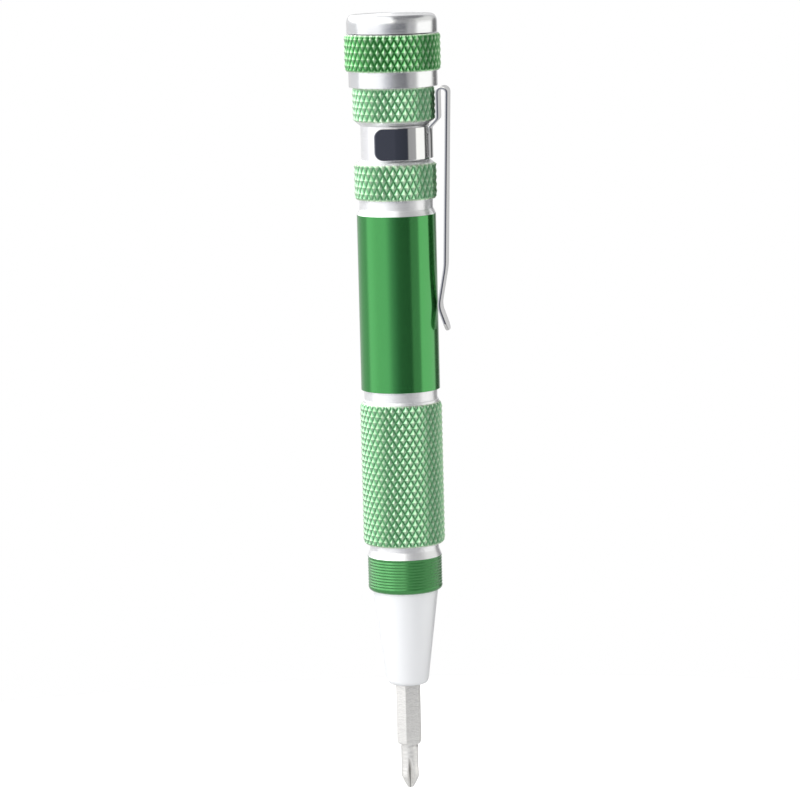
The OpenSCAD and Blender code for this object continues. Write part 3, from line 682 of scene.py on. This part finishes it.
spare_tips = {
    "spare_slot_narrow": blade_tip(1.5, 0.25, 4),
    "spare_slot_middle": blade_tip(2, 0.4, 4),
    "spare_slot_wide": blade_tip(3, 0.5, 4),
    "spare_cross_small": cross_tip(1.2, 1.6, 0.28),
    "spare_cross_large": cross_tip(1.95, 2.5, 0.42),
}
for node, tip in spare_tips.items():
    box_low, box_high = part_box(node)
    middle = (box_low + box_high) / 2
    place_turn = math.atan2(middle.y, middle.x)
    shape = bit_mesh(*tip, place_turn, place_turn)
    bmesh.ops.translate(shape, vec=(middle.x, middle.y, box_low.z), verts=shape.verts)
    spare = piece(node + "_bit", shape, [BIT_STEEL], 28)
    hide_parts(node)
    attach(spare, "rack")

# Draw stud
# A turned steel stud: its foot slides in the rack's head while the cap comes off its thread,
# and its upper head is held by a nylon bush in the cap's spigot.
rounded_copy("rack_stud", "draw_stud", 0.08, MACHINED, "stud")

# End cap
# A turned cap with a bright band under a knurled green ring, and a threaded spigot.
# A rubber ring seals it in the barrel's mouth, and the bush for the stud is pressed in its spigot.
THREAD_OUT = groove_tree("Outside thread", False)
spigot_low, cap_high = (corner.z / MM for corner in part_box("end_cap"))
cap_low = high + 0.05
band_r, band_len, cap_ring_r, crest_r, chamber_r, pin_hole_r = 7.79, 2.75, 8.48, 5.25, 3.9, 1.55
spigot_bevel, shoulder_len, chamber_rise = 0.2, 0.5, 1.5
cap_ring_z = cap_low + band_len
thread_root_r = crest_r - thread_depth
thread_low, thread_high = spigot_low + spigot_bevel, cap_low - thread_end
chamber_high = cap_low + chamber_rise
cap_cut, cap_diamonds = 0.36, 43
cap_row = (cap_high - cap_ring_z) / 17
cap_columns = per_diamond * cap_diamonds
cap_shape = bmesh.new()
turn(cap_shape, softened([
    (chamber_r, spigot_low), (thread_root_r - spigot_bevel, spigot_low), (thread_root_r, thread_low),
], edge), cap_columns)
turn(cap_shape, softened([
    (thread_root_r, thread_high), (crest_r, thread_high + shoulder_len), (crest_r, cap_low), (band_r, cap_low),
    (band_r, cap_ring_z), (cap_ring_r - cap_cut, cap_ring_z),
], edge), cap_columns)
turn(cap_shape, softened([
    (cap_ring_r - cap_cut, cap_high), (pin_hole_r, cap_high), (pin_hole_r, chamber_high),
    (chamber_r, chamber_high), (chamber_r, spigot_low),
], edge), cap_columns)
graft(cap_shape, grown(THREAD_OUT, dict(
    radius=crest_r, low=thread_low, high=thread_high, end_radius=thread_root_r, fade=thread_fade,
    pitch=thread_pitch, depth=thread_depth,
), starts=1.0, flat=thread_flat, columns=cap_columns, rows=40, material=BRIGHT), 0)
graft(cap_shape, knurled(
    cap_ring_z, cap_high, cap_cut, cap_cut, cap_cut, cap_cut, cap_row, cap_ring_r, cap_diamonds, DARK_KNURL), 1)
cap = piece("cap", cap_shape, [BRIGHT, DARK_KNURL], 18)
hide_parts("end_cap")
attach(cap, "cap")
NYLON = moulded("white nylon", (0.78, 0.77, 0.73), 0.5, 8000.0, 0.15)
dress("cap_oring", RUBBER)
dress("stud_retainer", NYLON)

# Swivel dome
# A bright turned aluminium dome that the fingertip presses, with a pin that turns in the cap.
# A thin nylon washer lies under it, and a steel ring snaps into the groove at the pin's lower end.
dome_low, dome_high = (corner.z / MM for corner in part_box("swivel_dome"))
recess_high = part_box("dome_washer")[1].z / MM + 0.05
dome_r, dome_round, dome_rise, dome_crown, pin_r, pin_len, recess_r = 7.94, 1.05, 1.5, 0.2, 1.5, 2.2, 3.5
dome_side = dome_high - dome_crown - dome_rise
crown_steps = 6
dome_shape = bmesh.new()
turn(dome_shape, softened([
    (0, dome_low + pin_len), (pin_r, dome_low + pin_len), (pin_r, recess_high), (recess_r, recess_high),
    (recess_r, dome_low), (dome_r, dome_low), (dome_r, dome_side),
], edge) + [
    (dome_r - dome_round * (1 - math.cos(a)), dome_side + dome_rise * math.sin(a)) for a in quarter(10)
] + [
    ((dome_r - dome_round) * share, dome_high - dome_crown * share ** 2)
    for share in (1 - i / crown_steps for i in range(1, crown_steps + 1))
], 192)
dome = piece("dome", dome_shape, [BRIGHT], 20)
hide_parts("swivel_dome")
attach(dome, "dome")
dress("dome_pin", MACHINED)
dress("pin_clip", MACHINED)
dress("dome_washer", NYLON)

# Pocket clip
# One bent sheet of polished spring steel: a C-shaped band with flat tabs on the neck, a leg
# over the upper ring, a hairpin, and an arm whose end flares so that it slips over cloth.
POLISHED = metal("polished spring steel", (0.80, 0.80, 0.80), 0.07, marks=3000.0, spread=0.3)
sheet_t, arm_w, band_in_r, band_h, band_shift, corner_r = 0.45, 4.6, 6.1, 5.6, 0.2, 1.5
round_half, tab_len, slit_w, slit_h, leg_gap, hairpin_r = math.radians(80.5), 3.95, 0.3, 1.2, 0.36, 0.85
knee_r, bend_r, toe_r, hairpin_steps = 0.7, 14, 4, 20
touch_rise, touch_gap, bend_rise, bend_gap, flare_drop, flare_out = 14.7, 0.12, 7, 1.4, 4.3, 1.5
band_r_mid = band_in_r + sheet_t / 2
band_low = neck_z + (neck_len - band_h) / 2
band_high = band_low + band_h
leg_x = ring_r + leg_gap + sheet_t / 2
hairpin_x = leg_x + hairpin_r
hairpin_z = high - 0.05 - hairpin_r - sheet_t / 2


def arc_points(before, corner, after, radius, steps):
    """Points of the arc that rounds a corner of a path."""
    before, corner, after = Vector(before), Vector(corner), Vector(after)
    back, ahead = (before - corner).normalized(), (after - corner).normalized()
    half = back.angle(ahead) / 2
    centre = corner + (back + ahead).normalized() * radius / math.sin(half)
    start = corner + back * radius / math.tan(half) - centre
    sweep = (math.pi - 2 * half) * (1 if back.cross(ahead) < 0 else -1)
    points = []
    for step in range(steps + 1):
        angle = sweep * step / steps
        points.append((centre.x + start.x * math.cos(angle) - start.y * math.sin(angle),
                       centre.y + start.x * math.sin(angle) + start.y * math.cos(angle)))
    return points


leg_root = (band_shift + band_r_mid, band_high - sheet_t / 2)
leg_knee = (leg_x, high_ring_z)
arm_top = (leg_x + 2 * hairpin_r, hairpin_z)
contact_z = tube_z + touch_rise
contact = (tube_r + touch_gap + sheet_t / 2, contact_z)
arm_bend = (tube_r + bend_gap + sheet_t / 2, contact_z + bend_rise)
arm_end = (contact[0] + flare_out, contact_z - flare_drop)
leg_path = [(leg_root[0], band_high - slit_h), (leg_root[0], band_high - slit_h / 2 - 0.1)]
leg_path += arc_points((leg_root[0], band_low), leg_root, leg_knee, knee_r, 5)
leg_path += arc_points(leg_root, leg_knee, (leg_x, hairpin_z), knee_r, 5)
flat_after = len(leg_path)
leg_path += [(leg_x, high_ring_z + 1.5), (leg_x, high_ring_z + 3)]
hairpin_turns = [math.pi * i / hairpin_steps for i in range(hairpin_steps + 1)]
leg_path += [
    (hairpin_x - hairpin_r * math.cos(a), hairpin_z + hairpin_r * math.sin(a)) for a in hairpin_turns]
leg_path += [tuple(Vector(arm_top).lerp(Vector(arm_bend), share)) for share in (0.2, 0.4, 0.6, 0.8)]
leg_path += arc_points(arm_top, arm_bend, contact, bend_r, 8)
leg_path += arc_points(arm_bend, contact, arm_end, toe_r, 8)
end_way = (Vector(contact) - Vector(arm_end)).normalized()
end_drops = [corner_r * share for share in (1, 0.75, 0.5, 0.28, 0.1, 0)]
end_from = len(leg_path)
leg_path += [tuple(Vector(arm_end) + end_way * drop) for drop in end_drops]

arm_half = 4
slit_s = band_r_mid * math.asin(arm_w / 2 / band_r_mid)
round_s = band_r_mid * round_half
spans = [slit_s * i / arm_half for i in range(arm_half + 1)]
spans += [slit_s + slit_w + (round_s - slit_s - slit_w) * i / 16 for i in range(17)]
tab_shares = [0.12 * i for i in range(1, 8)] + [0.93, 1]
slit_row, row_by_slit = band_h - slit_h, 1.1
edge_rows = [0, 0.15, 0.42, 0.75, row_by_slit, corner_r]
# At the upper edge the slit's own row takes the place of the row beside it.
high_rows = [band_h - row for row in edge_rows if row != row_by_slit]
band_rows = sorted({*edge_rows, band_h / 2, slit_row, *high_rows})


def band_point(s, rise):
    """A point of the band's middle surface, at an arc length from the arm's centre line."""
    angle = min(abs(s), round_s) / band_r_mid
    beyond = max(0, abs(s) - round_s)
    x = band_shift + band_r_mid * math.cos(angle) - beyond * math.sin(angle)
    y = band_r_mid * math.sin(angle) + beyond * math.cos(angle)
    return Vector((x, math.copysign(y, s) if s else 0, band_low + rise)) * MM


def tab_reach(rise):
    """How far the tab reaches past the round part at a height, with its round corners."""
    inset = max(0, corner_r - min(rise, band_h - rise))
    return tab_len - corner_r + math.sqrt(corner_r ** 2 - inset ** 2)


clip_shape = bmesh.new()
grid = {}
sides = [-s for s in reversed(spans[1:])] + spans
for row, rise in enumerate(band_rows):
    tabs = [round_s + share * tab_reach(rise) for share in tab_shares]
    line = [-s for s in reversed(tabs)] + sides + tabs
    for column, s in enumerate(line):
        under_leg = rise > slit_row and abs(s) < slit_s + slit_w / 2
        if not under_leg:
            grid[row, column] = clip_shape.verts.new(band_point(s, rise))
for (row, column), first in list(grid.items()):
    corners = [grid.get(key) for key in ((row, column + 1), (row + 1, column + 1), (row + 1, column))]
    if None not in corners:
        clip_shape.faces.new((first, *corners))
slit_index = band_rows.index(slit_row)
centre_column = len(tab_shares) + len(spans) - 1
line_before = [grid[slit_index, centre_column + step] for step in range(-arm_half, arm_half + 1)]
flat_from, flat_to = band_high - slit_h, high_ring_z
for number, (x, z) in enumerate(leg_path[1:], 1):
    bulge = 0 if number > flat_after else 1 - max(0, min(1, (z - flat_from) / (flat_to - flat_from)))
    half_w = arm_w / 2
    if number >= end_from:
        inset = corner_r - end_drops[number - end_from]
        half_w += math.sqrt(corner_r ** 2 - inset ** 2) - corner_r
    line = []
    for step in range(-arm_half, arm_half + 1):
        y = half_w * math.sin(step / arm_half * slit_s / band_r_mid) / math.sin(slit_s / band_r_mid)
        drop = (band_r_mid - math.sqrt(band_r_mid ** 2 - y ** 2)) * bulge
        line.append(clip_shape.verts.new(Vector((x - drop, y, z)) * MM))
    for column in range(2 * arm_half):
        clip_shape.faces.new((line_before[column], line_before[column + 1], line[column + 1], line[column]))
    line_before = line
clip = piece("pocket_clip", clip_shape, [POLISHED])
thicken = clip.modifiers.new("sheet", "SOLIDIFY")
thicken.thickness = sheet_t * MM
thicken.offset = 0
thicken.use_even_offset = True
rounding = clip.modifiers.new("edges", "BEVEL")
rounding.width = 0.035 * MM
rounding.segments = 2
rounding.limit_method = "ANGLE"
rounding.angle_limit = math.radians(50)
bpy.context.view_layer.update()
clip_mesh = bpy.data.meshes.new_from_object(clip.evaluated_get(bpy.context.evaluated_depsgraph_get()))
clip.modifiers.clear()
clip.data = clip_mesh
clip_mesh.set_sharp_from_angle(angle=math.radians(40))
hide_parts("clip_band", "clip_arm")
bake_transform(clip)

# Floor, light and camera
# A plain pale floor in a pale tent, with dark cards in front and a narrow one behind on the right
# for the metal to mirror, a soft key lamp at the front left and a broad fill lamp by the camera.
floor_radius, floor_height, floor_grey, floor_glow = 0.32, -0.05, 0.6, 0.85
floor_shape = bmesh.new()
floor_corners = bmesh.ops.create_circle(floor_shape, cap_ends=True, segments=96, radius=floor_radius)["verts"]
bmesh.ops.translate(floor_shape, vec=(0, 0, floor_height), verts=floor_corners)
floor_finish = bpy.data.materials.new("pale floor")
floor_finish.use_nodes = True
floor_tree = floor_finish.node_tree
floor_shader = floor_tree.nodes["Principled BSDF"]
floor_shader.inputs["Base Color"].default_value = (floor_grey, floor_grey, floor_grey, 1)
floor_shader.inputs["Roughness"].default_value = 0.9
seen = add(floor_tree, "ShaderNodeLightPath").outputs["Is Camera Ray"]
glow = add(floor_tree, "ShaderNodeEmission", None, {
    "Strength": calc(floor_tree, "MULTIPLY", seen, floor_glow),
})
floor_tree.links.new(add(floor_tree, "ShaderNodeAddShader", None, {
    0: floor_shader.outputs[0], 1: glow.outputs[0],
}).outputs[0], floor_tree.nodes["Material Output"].inputs[0])
floor = piece("floor", floor_shape, [floor_finish])

view_turn, distance, eye_height, aim_height, lean = math.radians(8), 0.680, 0.169, 0.0703, math.radians(1.42)
focal_pixels, frame_pixels, shift_pixels, sensor_mm = 3880, 800, -1, 36


def facing_tool(place):
    """The turn of something at a place that looks at the middle of the tool."""
    return (Vector((0, 0, aim_height)) - Vector(place)).to_track_quat("-Z", "Y")


camera = bpy.data.objects.new("camera", bpy.data.cameras.new("camera"))
bpy.context.scene.collection.objects.link(camera)
camera.location = (distance * math.sin(view_turn), -distance * math.cos(view_turn), eye_height)
aim = facing_tool(camera.location)
camera.rotation_euler = (aim.to_matrix() @ Matrix.Rotation(-lean, 3, "Z")).to_euler()
camera.data.sensor_width = sensor_mm
camera.data.lens = focal_pixels / frame_pixels * sensor_mm
camera.data.shift_x = shift_pixels / frame_pixels
camera.data.clip_start = 0.01
bpy.context.scene.camera = camera
bpy.context.scene.view_settings.view_transform = "Standard"

world = bpy.data.worlds.new("tent")
bpy.context.scene.world = world
world.use_nodes = True
sky = world.node_tree
way = add(sky, "ShaderNodeSeparateXYZ", None, {
    0: add(sky, "ShaderNodeTexCoord").outputs["Generated"],
}).outputs
front = view_turn - math.pi / 2
compass = calc(sky, "SUBTRACT", calc(sky, "ARCTAN2", way[1], way[0]), front)
turned = calc(sky, "FRACT", calc(sky, "ADD", calc(sky, "DIVIDE", compass, math.tau), 0.5))


def round_the_tent(tones):
    """Light all round at one height; tones are greys or colours by degrees to the right of the camera."""
    ramp = add(sky, "ShaderNodeValToRGB", None, {0: turned})
    stops = ramp.color_ramp.elements
    for number, (degrees, tone) in enumerate(tones.items()):
        stop = stops[number] if number < 2 else stops.new(1)
        stop.position = degrees / 360 + 0.5
        stop.color = (*(tone if isinstance(tone, tuple) else (tone, tone, tone)), 1)
    return ramp.outputs[0]


def step_between(low_tone, high_tone, start, end):
    """Goes from one tone to another as the direction's height rises from start to end."""
    share = add(sky, "ShaderNodeMapRange", {"interpolation_type": "SMOOTHSTEP"}, {
        "Value": way[2], "From Min": start, "From Max": end,
    }).outputs[0]
    return mixed(sky, share, low_tone, high_tone)


below = round_the_tent({
    -180: 0.9, -90: 1.1, -36: 1.0, -12: 0.4, 0: 0.16, 50: 0.2, 72: (0.6, 0.6, 0.58), 125: (0.6, 0.6, 0.58),
    145: (0.15, 0.15, 0.16), 180: (0.3, 0.3, 0.32),
})
level = round_the_tent({
    -180: 0.58, -150: 0.66, -104: (0.56, 0.57, 0.58), -94: 1.25, -82: 1.2, -64: 1.0, -34: (0.97, 0.98, 1.0),
    -20: (0.45, 0.46, 0.51), -6: (0.16, 0.17, 0.22), 4: (0.05, 0.055, 0.075), 37: (0.04, 0.045, 0.06),
    40: 0.38, 64: 0.42, 67: (1.2, 1.2, 1.16), 120: (1.15, 1.15, 1.11), 128: 0.1, 150: 0.1, 160: 0.7,
    165: 0.6, 180: 0.56,
})
above = round_the_tent({
    -180: 1.7, -100: 2.5, -60: (2.0, 2.0, 1.95), -2: (1.6, 1.6, 1.5), 12: 0.32, 40: 0.25,
    64: (0.45, 0.45, 0.43), 75: (0.75, 0.75, 0.72), 130: (0.75, 0.75, 0.72), 150: 0.5, 180: 1.0,
})
overhead = round_the_tent({
    -180: 0.6, -110: 1.2, -4: 1.2, 12: (0.15, 0.15, 0.16), 150: (0.12, 0.12, 0.13), 180: 0.5,
})
tone = step_between(below, level, -0.45, -0.3)
tone = step_between(tone, above, 0.13, 0.22)
tone = step_between(tone, overhead, 0.55, 0.75)
seen = add(sky, "ShaderNodeLightPath").outputs["Is Camera Ray"]
sky.links.new(mixed(sky, seen, tone, (1, 1, 1, 1)), sky.nodes["Background"].inputs[0])


def soft_lamp(name, size, watts, place):
    """A square area lamp that faces the tool."""
    light = bpy.data.lights.new(name, "AREA")
    light.size = size
    light.energy = watts
    lamp = bpy.data.objects.new(name, light)
    bpy.context.scene.collection.objects.link(lamp)
    lamp.location = place
    lamp.rotation_euler = facing_tool(place).to_euler()
    return lamp


soft_lamp("key", 0.35, 0.35, (-0.50, -0.45, 0.55))
fill = soft_lamp("fill", 0.6, 1.8, (0.20, -0.78, 0.25))
fill.visible_glossy = False
